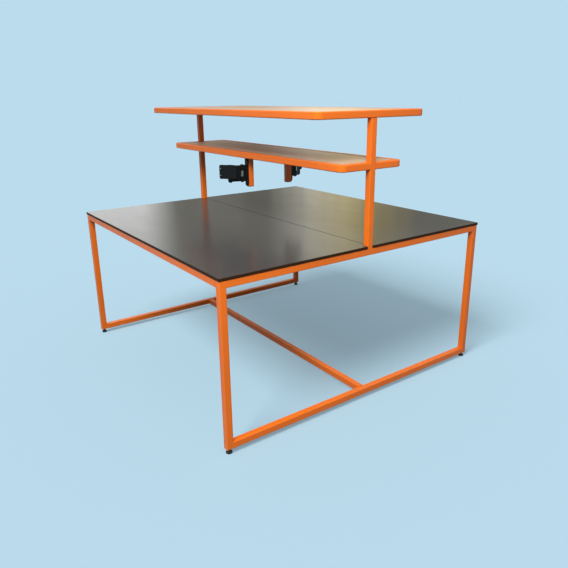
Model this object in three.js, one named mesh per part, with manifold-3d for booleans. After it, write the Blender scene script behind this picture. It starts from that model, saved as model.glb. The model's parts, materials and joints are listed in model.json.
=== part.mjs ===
// Benching desk for two: welded square-tube frame, two desktop boards, two raised shelves,
// and a monitor bracket for each user on a drop post under the lower shelf.
// Millimetres, +Z up, origin on the floor under the middle.
// X runs between the end frames, and the users sit at -Y and +Y.

import * as THREE from "three";
import { mergeVertices } from "three/addons/utils/BufferGeometryUtils.js";
import Module from "manifold-3d";

// Desktop
const TOP_LENGTH = 1550;
const TOP_DEPTH = 1500;
const TOP_HEIGHT = 745;
const TOP_THICK = 12;
const TOP_SEAM = 2.5;
const TOP_OVERHANG = 2;
const NOTCH_CLEAR = 1.5;
const BOARD_CHAMFER = 0.8;

// Square tube of the frame, posts and shelf rings
const TUBE = 30;
const WALL = 2;
const TUBE_CORNER = 3;
const WELD_GAP = 0.3;
const FRAME_LIFT = 21;

// Shelves
const LOWER_SHELF_TOP = 1102;
const LOWER_SHELF_DEPTH = 350;
const UPPER_SHELF_TOP = 1310;
const UPPER_SHELF_DEPTH = 600;
const SHELF_BEND = 30;
const SHELF_BOARD_THICK = 14;
const SHELF_BOARD_CLEAR = 1.5;
const CROSS_BAR_HEIGHT = 15;
const CROSS_BAR_SPREAD = 500;

// Tabs under the desktops, screwed up into the boards
const TAB_LENGTH = 36;
const TAB_REACH = 26;
const TAB_THICK = 3;
const TAB_CORNER = 6;
const TAB_HOLE_RADIUS = 2.75;
const TAB_SPREAD = 400;

// Levelling feet
const FOOT_PAD_RADIUS = 13.5;
const FOOT_PAD_HEIGHT = 9;
const FOOT_SCREW_RADIUS = 4;
const FOOT_SCREW_REACH = 18;
const INSERT_RADIUS = 7.5;
const INSERT_FLANGE = 2;
const INSERT_DEPTH = 12;

// Drop posts that carry the monitor brackets
const DROP_LENGTH = 145;
const DROP_INSET = 39.5;
const PLUG_FLANGE = 3;
const PLUG_DEPTH = 10;
const PLUG_CLEAR = 0.25;

// Monitor bracket
const WEB_WIDTH = 29;
const WEB_HEIGHT = 142;
const WEB_THICK = 5;
const WEB_CORNER = 9;
const BOLT_EDGE = 13;
const BOLT_RADIUS = 3;
const BOLT_HEAD_RADIUS = 5.5;
const BOLT_HEAD_HEIGHT = 3.2;
const BOLT_REACH = 12;
const SWIVEL_OUT = 32;
const SWIVEL_DROP = 5;
const LINK_REACH = 62;
const LINK_WIDTH = 16;
const BARREL_RADIUS = 12;
const BARREL_HEIGHT = 80;
const KNUCKLE_HEIGHT = 40;
const PIN_RADIUS = 5;
const PIN_HEAD_RADIUS = 8;
const PIN_HEAD_HEIGHT = 4.5;
const RUN_CLEAR = 0.4;
const SWEEP_CLEAR = 1.5;
const BRAKE_HEIGHT = 28;
const BRIDGE_THICK = 3;
const TILT_RISE = 13.5;
const TILT_EYE_RADIUS = 7.5;
const TILT_TONGUE = 15;
const TILT_CHEEK = 5;
const TILT_PIN_RADIUS = 3;
const TILT_PIN_HEAD_RADIUS = 5.5;
const TILT_PIN_HEAD_HEIGHT = 3;
const PLATE_WIDTH = 88;
const PLATE_HEIGHT = 70;
const PLATE_THICK = 3;
const PLATE_CORNER = 8;
const PLATE_STANDOFF = 9.5;
const PLATE_HOLES_WIDE = 75;
const PLATE_HOLES_HIGH = 35;
const PLATE_HOLE_RADIUS = 2.2;

// Rest pose of the brackets, in degrees: the link from straight out, and the head from the link
const SWING_AT_REST = { front: -18, back: 37 };
const TURN_AT_REST = { front: 58, back: 45 };

// Roundness of small turned pieces and of bends, in segments
const ROUND_STEPS = 20;
const BEND_STEPS = 4;
const CORNER_STEPS = 1;

// Overlap that makes two joined solids share volume, and the run of a cutter past a face
const BITE = 0.6;
const PAST = 2;

// Levels and faces that follow from the sizes above
const TOP_UNDER = TOP_HEIGHT - TOP_THICK;
const FRAME_TOP = TOP_UNDER - WELD_GAP;
const RAIL_UNDER = FRAME_TOP - TUBE;
const FLOOR_RAIL_TOP = FRAME_LIFT + TUBE;
const FRAME_END = TOP_LENGTH / 2 - TOP_OVERHANG;
const FRAME_SIDE = TOP_DEPTH / 2 - TOP_OVERHANG;
const FRAME_END_IN = FRAME_END - TUBE;
const HALF_TUBE = TUBE / 2;
const LOWER_SHELF_UNDER = LOWER_SHELF_TOP - TUBE;
const UPPER_SHELF_UNDER = UPPER_SHELF_TOP - TUBE;
const DROP_TOP = LOWER_SHELF_UNDER - WELD_GAP;
const DROP_BOTTOM = DROP_TOP - DROP_LENGTH;
const DROP_FACE = LOWER_SHELF_DEPTH / 2 - DROP_INSET;
const BRACKET_LEVEL = (DROP_TOP + DROP_BOTTOM) / 2 - SWIVEL_DROP;

const wasm = await Module();
wasm.setup();

function solidOf(geometry) {
  const flat = geometry.index ? geometry.toNonIndexed() : geometry;
  const bare = new THREE.BufferGeometry();
  bare.setAttribute("position", flat.getAttribute("position"));
  const merged = mergeVertices(bare, 1e-4);
  const mesh = new wasm.Mesh({
    numProp: 3,
    vertProperties: merged.attributes.position.array,
    triVerts: new Uint32Array(merged.index.array),
  });
  return new wasm.Manifold(mesh);
}

function geometryOf(solid) {
  const mesh = solid.getMesh();
  const geometry = new THREE.BufferGeometry();
  geometry.setAttribute("position", new THREE.BufferAttribute(mesh.vertProperties, 3));
  geometry.setIndex(new THREE.BufferAttribute(mesh.triVerts, 1));
  return geometry.toNonIndexed();
}

function join(...geometries) {
  const solids = geometries.map(solidOf);
  return geometryOf(solids.reduce((whole, next) => whole.add(next)));
}

function cut(geometry, ...cutters) {
  const solids = cutters.map(solidOf);
  return geometryOf(solids.reduce((rest, next) => rest.subtract(next), solidOf(geometry)));
}

function keep(geometry, region) {
  return geometryOf(solidOf(geometry).intersect(solidOf(region)));
}

function roundedOutline(width, height, radius, Outline = THREE.Shape) {
  const corner = Math.min(radius, width / 2, height / 2);
  const x = width / 2 - corner;
  const y = height / 2 - corner;
  const outline = new Outline();
  outline.absarc(x, y, corner, 0, Math.PI / 2);
  outline.absarc(-x, y, corner, Math.PI / 2, Math.PI);
  outline.absarc(-x, -y, corner, Math.PI, 1.5 * Math.PI);
  outline.absarc(x, -y, corner, 1.5 * Math.PI, 2 * Math.PI);
  outline.closePath();
  return outline;
}

function prism(outline, from, to, steps = CORNER_STEPS) {
  const options = { depth: to - from, bevelEnabled: false, curveSegments: steps };
  return new THREE.ExtrudeGeometry(outline, options).translate(0, 0, from);
}

// A prism whose top and bottom edges are eased by the given radius.
function easedPrism(outline, from, to, ease, easeSteps, steps) {
  const options = {
    depth: to - from - 2 * ease,
    bevelThickness: ease,
    bevelSize: ease,
    bevelOffset: -ease,
    bevelSegments: easeSteps,
    curveSegments: steps,
  };
  return new THREE.ExtrudeGeometry(outline, options).translate(0, 0, from + ease);
}

function block(x0, x1, y0, y1, z0, z1) {
  const box = new THREE.BoxGeometry(x1 - x0, y1 - y0, z1 - z0);
  return box.translate((x0 + x1) / 2, (y0 + y1) / 2, (z0 + z1) / 2);
}

function cylinder(radius, from, to, steps = ROUND_STEPS) {
  const geometry = new THREE.CylinderGeometry(radius, radius, to - from, steps);
  return geometry.rotateX(Math.PI / 2).translate(0, 0, (from + to) / 2);
}

// A turned piece from (radius, height) pairs that start and end on the axis, lowest first.
function turned(profile, steps = ROUND_STEPS) {
  const points = profile.map(([radius, height]) => new THREE.Vector2(radius, height));
  return new THREE.LatheGeometry(points, steps).rotateX(Math.PI / 2);
}

// A side view drawn in (y, z) and given a thickness along x.
const SIDE_VIEW = new THREE.Matrix4().makeBasis(
  new THREE.Vector3(0, 1, 0),
  new THREE.Vector3(0, 0, 1),
  new THREE.Vector3(1, 0, 0),
);

function sideSlab(points, x0, x1) {
  const outline = new THREE.Shape(points.map(([y, z]) => new THREE.Vector2(y, z)));
  return prism(outline, x0, x1).applyMatrix4(SIDE_VIEW);
}

// A hollow tube, open at both ends, that fills the box between two corners and runs along one axis.
function tube(run, x0, x1, y0, y1, z0, z1) {
  const [dx, dy, dz] = [x1 - x0, y1 - y0, z1 - z0];
  const [across, up, length] = { x: [dz, dy, dx], y: [dx, dz, dy], z: [dx, dy, dz] }[run];
  const outline = roundedOutline(across, up, TUBE_CORNER);
  const [u, v] = [across / 2 - WALL, up / 2 - WALL];
  outline.holes.push(new THREE.Path().moveTo(u, v).lineTo(-u, v).lineTo(-u, -v).lineTo(u, -v));
  const geometry = prism(outline, -length / 2, length / 2);
  if (run === "x") {
    geometry.rotateY(Math.PI / 2);
  }
  if (run === "y") {
    geometry.rotateX(-Math.PI / 2);
  }
  return geometry.translate((x0 + x1) / 2, (y0 + y1) / 2, (z0 + z1) / 2);
}

const finishes = {
  orange: { color: 0xe8702a, roughness: 0.38, metalness: 0.0 },
  board: { color: 0x434240, roughness: 0.3, metalness: 0.0 },
  shelf: { color: 0xceb19a, roughness: 0.35, metalness: 0.0 },
  black: { color: 0x17171a, roughness: 0.5, metalness: 0.0 },
  plastic: { color: 0x111113, roughness: 0.6, metalness: 0.0 },
  steel: { color: 0xb4b6b8, roughness: 0.35, metalness: 1.0 },
  dark: { color: 0x2b2b2d, roughness: 0.4, metalness: 1.0 },
};

const group = new THREE.Group();
group.name = "benching_desk";

function place(parent, name, geometry, finish) {
  const mesh = new THREE.Mesh(geometry, new THREE.MeshStandardMaterial(finishes[finish]));
  mesh.name = name;
  parent.add(mesh);
  return mesh;
}

// End frames: leg, end rail and floor rail meet on 45 degree mitres in the (y, z) plane.
function legTube(end, side) {
  const outer = end * FRAME_END;
  const inner = end * FRAME_END_IN;
  const yOuter = side * FRAME_SIDE;
  const yInner = side * (FRAME_SIDE - TUBE);
  const [x0, x1] = [Math.min(outer, inner), Math.max(outer, inner)];
  const [y0, y1] = [Math.min(yOuter, yInner), Math.max(yOuter, yInner)];
  const stock = tube("z", x0, x1, y0, y1, FRAME_LIFT, FRAME_TOP);
  const mitres = [
    [side * (FRAME_SIDE + PAST), FRAME_LIFT + WELD_GAP - PAST],
    [side * (FRAME_SIDE + PAST), FRAME_TOP - WELD_GAP + PAST],
    [side * (FRAME_SIDE - TUBE - PAST), RAIL_UNDER - WELD_GAP - PAST],
    [side * (FRAME_SIDE - TUBE - PAST), FLOOR_RAIL_TOP + WELD_GAP + PAST],
  ];
  return keep(stock, sideSlab(mitres, x0 - PAST, x1 + PAST));
}

function crossTube(end, z0, z1, outside) {
  const outer = end * FRAME_END;
  const inner = end * FRAME_END_IN;
  const [x0, x1] = [Math.min(outer, inner), Math.max(outer, inner)];
  const stock = tube("y", x0, x1, -FRAME_SIDE, FRAME_SIDE, z0, z1);
  const [zOut, zIn] = outside > 0 ? [z1 + PAST, z0 - PAST] : [z0 - PAST, z1 + PAST];
  const mitres = [
    [-FRAME_SIDE - PAST, zOut],
    [FRAME_SIDE + PAST, zOut],
    [FRAME_SIDE - TUBE - PAST, zIn],
    [-FRAME_SIDE + TUBE + PAST, zIn],
  ];
  return keep(stock, sideSlab(mitres, x0 - PAST, x1 + PAST));
}

const ENDS = [
  ["left", -1],
  ["right", 1],
];
const SIDES = [
  ["front", -1],
  ["back", 1],
];
const FOOT_Y = FRAME_SIDE - HALF_TUBE;
const FOOT_X = FRAME_END - HALF_TUBE;

for (const [endName, end] of ENDS) {
  for (const [sideName, side] of SIDES) {
    place(group, `leg_${endName}_${sideName}`, legTube(end, side), "orange");
  }
  place(group, `end_rail_${endName}`, crossTube(end, RAIL_UNDER, FRAME_TOP, 1), "orange");
  const insertHoles = SIDES.map(([, side]) =>
    cylinder(INSERT_RADIUS + WELD_GAP, FRAME_LIFT - PAST, FRAME_LIFT + WALL + PAST).translate(
      end * FOOT_X,
      side * FOOT_Y,
      0,
    ),
  );
  const floorRail = cut(crossTube(end, FRAME_LIFT, FLOOR_RAIL_TOP, -1), ...insertHoles);
  place(group, `floor_rail_${endName}`, floorRail, "orange");
  const [px0, px1] = end < 0 ? [-FRAME_END, -FRAME_END_IN] : [FRAME_END_IN, FRAME_END];
  const post = tube("z", px0, px1, -HALF_TUBE, HALF_TUBE, TOP_UNDER, UPPER_SHELF_UNDER - WELD_GAP);
  place(group, `post_${endName}`, post, "orange");
}

// A pair of tabs on the face of a rail at y, reaching out towards the given side.
function fixingTabs(y, side) {
  const half = TAB_LENGTH / 2;
  const corners = [
    [-half, -BITE],
    [half, -BITE],
    [half, TAB_REACH - TAB_CORNER],
    [half - TAB_CORNER, TAB_REACH],
    [TAB_CORNER - half, TAB_REACH],
    [-half, TAB_REACH - TAB_CORNER],
  ];
  const outline = new THREE.Shape(corners.map(([u, v]) => new THREE.Vector2(u, v)));
  outline.holes.push(new THREE.Path().absarc(0, TAB_REACH / 2, TAB_HOLE_RADIUS, 0, 2 * Math.PI));
  return [-TAB_SPREAD, TAB_SPREAD].map((x) => {
    const tab = prism(outline, FRAME_TOP - TAB_THICK, FRAME_TOP, BEND_STEPS);
    return tab.rotateZ(side > 0 ? 0 : Math.PI).translate(x, y, 0);
  });
}

const RUN_END = FRAME_END_IN - WELD_GAP;
for (const [sideName, side] of SIDES) {
  const [y0, y1] = side < 0 ? [-FRAME_SIDE, TUBE - FRAME_SIDE] : [FRAME_SIDE - TUBE, FRAME_SIDE];
  const rail = tube("x", -RUN_END, RUN_END, y0, y1, RAIL_UNDER, FRAME_TOP);
  const tabs = fixingTabs(side * (FRAME_SIDE - TUBE), -side);
  place(group, `side_rail_${sideName}`, join(rail, ...tabs), "orange");
}
const beam = tube("x", -RUN_END, RUN_END, -HALF_TUBE, HALF_TUBE, RAIL_UNDER, FRAME_TOP);
const seamBeam = join(beam, ...fixingTabs(HALF_TUBE, 1), ...fixingTabs(-HALF_TUBE, -1));
place(group, "seam_beam", seamBeam, "orange");
const stretcher = tube("x", -RUN_END, RUN_END, -HALF_TUBE, HALF_TUBE, FRAME_LIFT, FLOOR_RAIL_TOP);
place(group, "floor_stretcher", stretcher, "orange");

// Levelling feet, screwed fully in against their inserts.
const INSERT_UNDER = FRAME_LIFT - WELD_GAP - INSERT_FLANGE;
const FOOT_NECK = FOOT_SCREW_RADIUS * 2;
const FOOT_SHOULDER = INSERT_UNDER - WELD_GAP;

function footInsert() {
  const flange = cylinder(INSERT_RADIUS + INSERT_FLANGE, INSERT_UNDER, INSERT_UNDER + INSERT_FLANGE);
  const barrel = cylinder(INSERT_RADIUS, INSERT_UNDER, FRAME_LIFT + INSERT_DEPTH);
  const bore = cylinder(FOOT_SCREW_RADIUS + RUN_CLEAR, INSERT_UNDER - PAST, FRAME_LIFT + INSERT_DEPTH + PAST);
  return cut(join(flange, barrel), bore);
}

function footSolid() {
  const ease = FOOT_PAD_HEIGHT / 6;
  return turned([
    [0, 0],
    [FOOT_PAD_RADIUS - ease, 0],
    [FOOT_PAD_RADIUS, ease],
    [FOOT_PAD_RADIUS, FOOT_PAD_HEIGHT - 2 * ease],
    [FOOT_PAD_RADIUS - 2 * ease, FOOT_PAD_HEIGHT],
    [FOOT_NECK, FOOT_PAD_HEIGHT],
    [FOOT_NECK, FOOT_SHOULDER],
    [FOOT_SCREW_RADIUS, FOOT_SHOULDER],
    [FOOT_SCREW_RADIUS, FRAME_LIFT + FOOT_SCREW_REACH],
    [0, FRAME_LIFT + FOOT_SCREW_REACH],
  ]);
}

for (const [endName, end] of ENDS) {
  for (const [sideName, side] of SIDES) {
    const corner = `${endName}_${sideName}`;
    place(group, `foot_insert_${corner}`, footInsert().translate(end * FOOT_X, side * FOOT_Y, 0), "plastic");
    place(group, `foot_${corner}`, footSolid().translate(end * FOOT_X, side * FOOT_Y, 0), "plastic");
  }
}

// Desktop boards, notched at the ends of the seam so that the posts pass up between them.
const NOTCH_X = FRAME_END_IN - NOTCH_CLEAR;
const NOTCH_Y = HALF_TUBE + NOTCH_CLEAR;

function desktop(side) {
  const seam = TOP_SEAM / 2;
  const corners = [
    [-NOTCH_X, seam],
    [NOTCH_X, seam],
    [NOTCH_X, NOTCH_Y],
    [TOP_LENGTH / 2, NOTCH_Y],
    [TOP_LENGTH / 2, TOP_DEPTH / 2],
    [-TOP_LENGTH / 2, TOP_DEPTH / 2],
    [-TOP_LENGTH / 2, NOTCH_Y],
    [-NOTCH_X, NOTCH_Y],
  ];
  const outline = new THREE.Shape(corners.map(([x, y]) => new THREE.Vector2(x, y)));
  const board = easedPrism(outline, TOP_UNDER, TOP_HEIGHT, BOARD_CHAMFER, 1, CORNER_STEPS);
  return side > 0 ? board : board.rotateZ(Math.PI);
}

for (const [sideName, side] of SIDES) {
  place(group, `desktop_${sideName}`, desktop(side), "board");
}

// Shelf rings: tube bent round the corners in plan, as two halves that end at the posts.
function shelfRing(depth, under, side, stop) {
  const bendInside = Math.max(SHELF_BEND - TUBE, WALL);
  const outline = roundedOutline(2 * FRAME_END, depth, SHELF_BEND);
  outline.holes.push(roundedOutline(2 * FRAME_END_IN, depth - 2 * TUBE, bendInside, THREE.Path));
  const bar = easedPrism(outline, under, under + TUBE, TUBE_CORNER, CORNER_STEPS, BEND_STEPS);
  const hollow = roundedOutline(2 * (FRAME_END - WALL), depth - 2 * WALL, SHELF_BEND - WALL);
  const core = roundedOutline(
    2 * (FRAME_END_IN + WALL),
    depth - 2 * (TUBE - WALL),
    bendInside + WALL,
    THREE.Path,
  );
  hollow.holes.push(core);
  const bore = prism(hollow, under + WALL, under + TUBE - WALL, BEND_STEPS);
  const [y0, y1] = side < 0 ? [-depth, -stop] : [stop, depth];
  const half = block(-TOP_LENGTH, TOP_LENGTH, y0, y1, under - PAST, under + TUBE + PAST);
  return keep(cut(bar, bore), half);
}

function shelfBoard(depth, under) {
  const width = 2 * (FRAME_END_IN - SHELF_BOARD_CLEAR);
  const corner = Math.max(SHELF_BEND - TUBE - SHELF_BOARD_CLEAR, WALL);
  const outline = roundedOutline(width, depth - 2 * (TUBE + SHELF_BOARD_CLEAR), corner);
  const bed = under + CROSS_BAR_HEIGHT + WELD_GAP;
  return easedPrism(outline, bed, bed + SHELF_BOARD_THICK, BOARD_CHAMFER, 1, CORNER_STEPS);
}

const SHELVES = [
  ["lower", LOWER_SHELF_UNDER, LOWER_SHELF_DEPTH, HALF_TUBE + WELD_GAP],
  ["upper", UPPER_SHELF_UNDER, UPPER_SHELF_DEPTH, WELD_GAP / 2],
];
const CROSS_BARS = [
  ["left", -CROSS_BAR_SPREAD],
  ["middle", 0],
  ["right", CROSS_BAR_SPREAD],
];

for (const [shelfName, under, depth, stop] of SHELVES) {
  for (const [sideName, side] of SIDES) {
    place(group, `${shelfName}_ring_${sideName}`, shelfRing(depth, under, side, stop), "orange");
  }
  const reach = depth / 2 - TUBE - WELD_GAP;
  for (const [barName, x] of CROSS_BARS) {
    const bar = tube("y", x - HALF_TUBE, x + HALF_TUBE, -reach, reach, under, under + CROSS_BAR_HEIGHT);
    place(group, `${shelfName}_bar_${barName}`, bar, "orange");
  }
  place(group, `${shelfName}_shelf_board`, shelfBoard(depth, under), "shelf");
}

// Monitor bracket, drawn with the swivel axis at the origin, the drop post at +Y and the user at -Y.
const HALF_BARREL = BARREL_HEIGHT / 2;
const FORK = KNUCKLE_HEIGHT / 2 + RUN_CLEAR;
const KNUCKLE = KNUCKLE_HEIGHT / 2;
const PIN_HOLE = PIN_RADIUS + RUN_CLEAR;
const SWEEP = BARREL_RADIUS + SWEEP_CLEAR;
const TILT_REACH = SWEEP + BRIDGE_THICK + RUN_CLEAR + TILT_EYE_RADIUS;
const WEB_BACK = SWIVEL_OUT - WELD_GAP;
const WEB_FRONT = WEB_BACK - WEB_THICK;
const BOLT_HOLE = BOLT_RADIUS + RUN_CLEAR;
const BOLT_LEVEL = WEB_HEIGHT / 2 - BOLT_EDGE;
const BOLT_LEVELS = [SWIVEL_DROP + BOLT_LEVEL, SWIVEL_DROP - BOLT_LEVEL];
const BRAKE_ROOM = BRAKE_HEIGHT / 2 + RUN_CLEAR;

// A hole or shank along y at the given height.
function alongY(geometry, z) {
  return geometry.rotateX(Math.PI / 2).translate(0, 0, z);
}

function wallBracket() {
  const web = prism(roundedOutline(WEB_WIDTH, WEB_HEIGHT, WEB_CORNER), -WEB_BACK, -WEB_FRONT, BEND_STEPS);
  web.rotateX(Math.PI / 2).translate(0, 0, SWIVEL_DROP);
  const lug = new THREE.Shape();
  lug.moveTo(BARREL_RADIUS, WEB_FRONT + BITE);
  lug.lineTo(-BARREL_RADIUS, WEB_FRONT + BITE);
  lug.absarc(0, 0, BARREL_RADIUS, Math.PI, 2 * Math.PI);
  lug.closePath();
  const upper = prism(lug, FORK, HALF_BARREL, ROUND_STEPS / 4);
  const lower = prism(lug, -HALF_BARREL, -FORK, ROUND_STEPS / 4);
  const spine = block(-BARREL_RADIUS, BARREL_RADIUS, SWEEP, WEB_FRONT + BITE, -FORK - BITE, FORK + BITE);
  const pinHole = cylinder(PIN_HOLE, -HALF_BARREL - PAST, HALF_BARREL + PAST);
  const boltHoles = BOLT_LEVELS.map((z) =>
    alongY(cylinder(BOLT_HOLE, -WEB_BACK - PAST, -WEB_FRONT + PAST), z),
  );
  return cut(join(web, upper, lower, spine), pinHole, ...boltHoles);
}

// A sleeve fixed on the swivel pin, between the collars of the link, that brakes its swing.
function brakeBlock() {
  const half = BRAKE_HEIGHT / 2;
  const bore = cylinder(PIN_RADIUS + WELD_GAP, -half - PAST, half + PAST);
  return cut(cylinder(BARREL_RADIUS, -half, half), bore);
}

function headedPin(radius, headRadius, headHeight, halfGrip) {
  const tip = halfGrip + headHeight;
  const ease = headHeight / 3;
  return turned([
    [0, -tip],
    [headRadius - ease, -tip],
    [headRadius, ease - tip],
    [headRadius, -halfGrip],
    [radius, -halfGrip],
    [radius, halfGrip],
    [headRadius, halfGrip],
    [headRadius, tip - ease],
    [headRadius - ease, tip],
    [0, tip],
  ]);
}

function swivelPin() {
  return headedPin(PIN_RADIUS, PIN_HEAD_RADIUS, PIN_HEAD_HEIGHT, HALF_BARREL + RUN_CLEAR);
}

// The link swings between the lugs of the wall bracket, on two collars with room for the brake between
// them, and forks round the knuckle of the head.
function link() {
  const profile = [
    [0, -KNUCKLE],
    [0, KNUCKLE],
    [-SWEEP, KNUCKLE],
    [-SWEEP, HALF_BARREL],
    [-LINK_REACH, HALF_BARREL],
    [-LINK_REACH, FORK],
    [SWEEP - LINK_REACH, FORK],
    [SWEEP - LINK_REACH, -FORK],
    [-LINK_REACH, -FORK],
    [-LINK_REACH, -HALF_BARREL],
    [-SWEEP, -HALF_BARREL],
    [-SWEEP, -KNUCKLE],
  ];
  const body = sideSlab(profile, -LINK_WIDTH / 2, LINK_WIDTH / 2);
  const knuckle = cylinder(BARREL_RADIUS, -KNUCKLE, KNUCKLE);
  const upper = cylinder(BARREL_RADIUS, FORK, HALF_BARREL).translate(0, -LINK_REACH, 0);
  const lower = cylinder(BARREL_RADIUS, -HALF_BARREL, -FORK).translate(0, -LINK_REACH, 0);
  const nearHole = cylinder(PIN_HOLE, -HALF_BARREL - PAST, HALF_BARREL + PAST);
  const farHole = nearHole.clone().translate(0, -LINK_REACH, 0);
  const brakeRoom = cylinder(SWEEP, -BRAKE_ROOM, BRAKE_ROOM);
  return cut(join(body, knuckle, upper, lower), brakeRoom, nearHole, farHole);
}

const CHEEK_IN = TILT_TONGUE / 2 + RUN_CLEAR;
const CHEEK_OUT = CHEEK_IN + TILT_CHEEK;
const TILT_HOLE = TILT_PIN_RADIUS + RUN_CLEAR;

// A disc whose axis runs along x, at the tilt axis of a head drawn with its swivel axis at the origin.
function tiltDisc(radius, x0, x1) {
  return cylinder(radius, x0, x1).rotateY(Math.PI / 2).translate(0, -TILT_REACH, TILT_RISE);
}

// The head: a knuckle on the swivel axis and a clevis for the tilt axle.
function swivelHead() {
  const eyeTop = TILT_RISE + TILT_EYE_RADIUS;
  const eyeBottom = TILT_RISE - TILT_EYE_RADIUS;
  const bridgeFront = -SWEEP - BRIDGE_THICK;
  const knuckle = cylinder(BARREL_RADIUS, -KNUCKLE, KNUCKLE);
  const neck = block(-LINK_WIDTH / 2, LINK_WIDTH / 2, -SWEEP, 0, -KNUCKLE, KNUCKLE);
  const bridge = block(-CHEEK_OUT, CHEEK_OUT, bridgeFront, -SWEEP + BITE, -KNUCKLE, eyeTop);
  const cheeks = block(-CHEEK_OUT, CHEEK_OUT, -TILT_REACH, bridgeFront + BITE, eyeBottom, eyeTop);
  const eye = tiltDisc(TILT_EYE_RADIUS, -CHEEK_OUT, CHEEK_OUT);
  const gap = block(
    -CHEEK_IN,
    CHEEK_IN,
    -TILT_REACH - TILT_EYE_RADIUS - PAST,
    bridgeFront,
    eyeBottom - PAST,
    eyeTop + PAST,
  );
  const pinHole = cylinder(PIN_HOLE, -KNUCKLE - PAST, KNUCKLE + PAST);
  const axleHole = tiltDisc(TILT_HOLE, -PLATE_WIDTH, PLATE_WIDTH);
  return cut(join(knuckle, neck, bridge, cheeks, eye), gap, pinHole, axleHole);
}

function tiltAxle() {
  const axle = headedPin(TILT_PIN_RADIUS, TILT_PIN_HEAD_RADIUS, TILT_PIN_HEAD_HEIGHT, CHEEK_OUT + RUN_CLEAR);
  return axle.rotateY(Math.PI / 2).translate(0, -TILT_REACH, TILT_RISE);
}

// The monitor plate: a tongue between the cheeks, and a face with a hole pattern.
function monitorPlate() {
  const outline = roundedOutline(PLATE_WIDTH, PLATE_HEIGHT, PLATE_CORNER);
  for (const x of [-PLATE_HOLES_WIDE / 2, PLATE_HOLES_WIDE / 2]) {
    for (const y of [-PLATE_HOLES_HIGH / 2, PLATE_HOLES_HIGH / 2]) {
      outline.holes.push(new THREE.Path().absarc(x, y, PLATE_HOLE_RADIUS, 0, 2 * Math.PI));
    }
  }
  const plateBack = TILT_REACH + PLATE_STANDOFF;
  const face = prism(outline, plateBack, plateBack + PLATE_THICK, BEND_STEPS);
  face.rotateX(Math.PI / 2).translate(0, 0, TILT_RISE);
  const halfTongue = TILT_TONGUE / 2;
  const eye = tiltDisc(TILT_EYE_RADIUS, -halfTongue, halfTongue);
  const tongue = block(
    -halfTongue,
    halfTongue,
    -plateBack - BITE,
    -TILT_REACH,
    TILT_RISE - TILT_EYE_RADIUS,
    TILT_RISE + TILT_EYE_RADIUS,
  );
  return cut(join(face, eye, tongue), tiltDisc(TILT_HOLE, -halfTongue - PAST, halfTongue + PAST));
}

function wallBolt() {
  const seat = -WEB_FRONT + WELD_GAP;
  const ease = BOLT_HEAD_HEIGHT / 2;
  return turned([
    [0, -WEB_BACK - BOLT_REACH],
    [BOLT_RADIUS, -WEB_BACK - BOLT_REACH],
    [BOLT_RADIUS, seat],
    [BOLT_HEAD_RADIUS, seat],
    [BOLT_HEAD_RADIUS, seat + ease],
    [BOLT_HEAD_RADIUS - ease, seat + BOLT_HEAD_HEIGHT],
    [0, seat + BOLT_HEAD_HEIGHT],
  ]);
}

// Drop post with bolt holes in the face that carries the bracket, and a plug in its open end.
function dropPost() {
  const bottom = SWIVEL_DROP - DROP_LENGTH / 2;
  const top = SWIVEL_DROP + DROP_LENGTH / 2;
  const stock = tube("z", -HALF_TUBE, HALF_TUBE, SWIVEL_OUT, SWIVEL_OUT + TUBE, bottom, top);
  const holes = BOLT_LEVELS.map((z) =>
    alongY(cylinder(BOLT_HOLE, -SWIVEL_OUT - WALL - PAST, PAST - SWIVEL_OUT), z),
  );
  return cut(stock, ...holes);
}

function dropPlug() {
  const bottom = SWIVEL_DROP - DROP_LENGTH / 2 - WELD_GAP;
  const inside = TUBE - 2 * (WALL + PLUG_CLEAR);
  const depth = Math.min(PLUG_DEPTH, DROP_LENGTH / 2 - BOLT_LEVEL - BOLT_HEAD_RADIUS);
  const flange = easedPrism(
    roundedOutline(TUBE, TUBE, TUBE_CORNER),
    bottom - PLUG_FLANGE,
    bottom,
    PLUG_FLANGE / 3,
    CORNER_STEPS,
    CORNER_STEPS,
  );
  const body = prism(roundedOutline(inside, inside, TUBE_CORNER), bottom - BITE, bottom + depth);
  return join(flange, body).translate(0, SWIVEL_OUT + HALF_TUBE, 0);
}

for (const [sideName, side] of SIDES) {
  const bracket = new THREE.Group();
  bracket.position.set(0, side * (DROP_FACE + SWIVEL_OUT), BRACKET_LEVEL);
  bracket.rotation.z = side < 0 ? 0 : Math.PI;
  group.add(bracket);
  place(bracket, `drop_post_${sideName}`, dropPost(), "orange");
  place(bracket, `drop_plug_${sideName}`, dropPlug(), "plastic");
  place(bracket, `wall_bracket_${sideName}`, wallBracket(), "black");
  BOLT_LEVELS.forEach((z, i) => {
    place(bracket, `wall_bolt_${sideName}_${i + 1}`, alongY(wallBolt(), z), "dark");
  });
  place(bracket, `brake_block_${sideName}`, brakeBlock(), "steel");
  place(bracket, `swivel_pin_${sideName}`, swivelPin(), "dark");

  const arm = new THREE.Group();
  arm.rotation.z = THREE.MathUtils.degToRad(SWING_AT_REST[sideName]);
  bracket.add(arm);
  place(arm, `link_${sideName}`, link(), "black");

  const head = new THREE.Group();
  head.position.set(0, -LINK_REACH, 0);
  head.rotation.z = THREE.MathUtils.degToRad(TURN_AT_REST[sideName]);
  arm.add(head);
  place(head, `head_pin_${sideName}`, swivelPin(), "dark");
  place(head, `swivel_head_${sideName}`, swivelHead(), "black");
  place(head, `tilt_axle_${sideName}`, tiltAxle(), "dark");
  place(head, `monitor_plate_${sideName}`, monitorPlate(), "black");
}

export default group;
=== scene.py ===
"""Benching desk for two: finishes, feet, fasteners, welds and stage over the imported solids."""

import json
import math

import bmesh
import bpy
from bpy.props import FloatProperty, FloatVectorProperty, IntProperty, PointerProperty
from mathutils import Matrix, Vector

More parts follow.
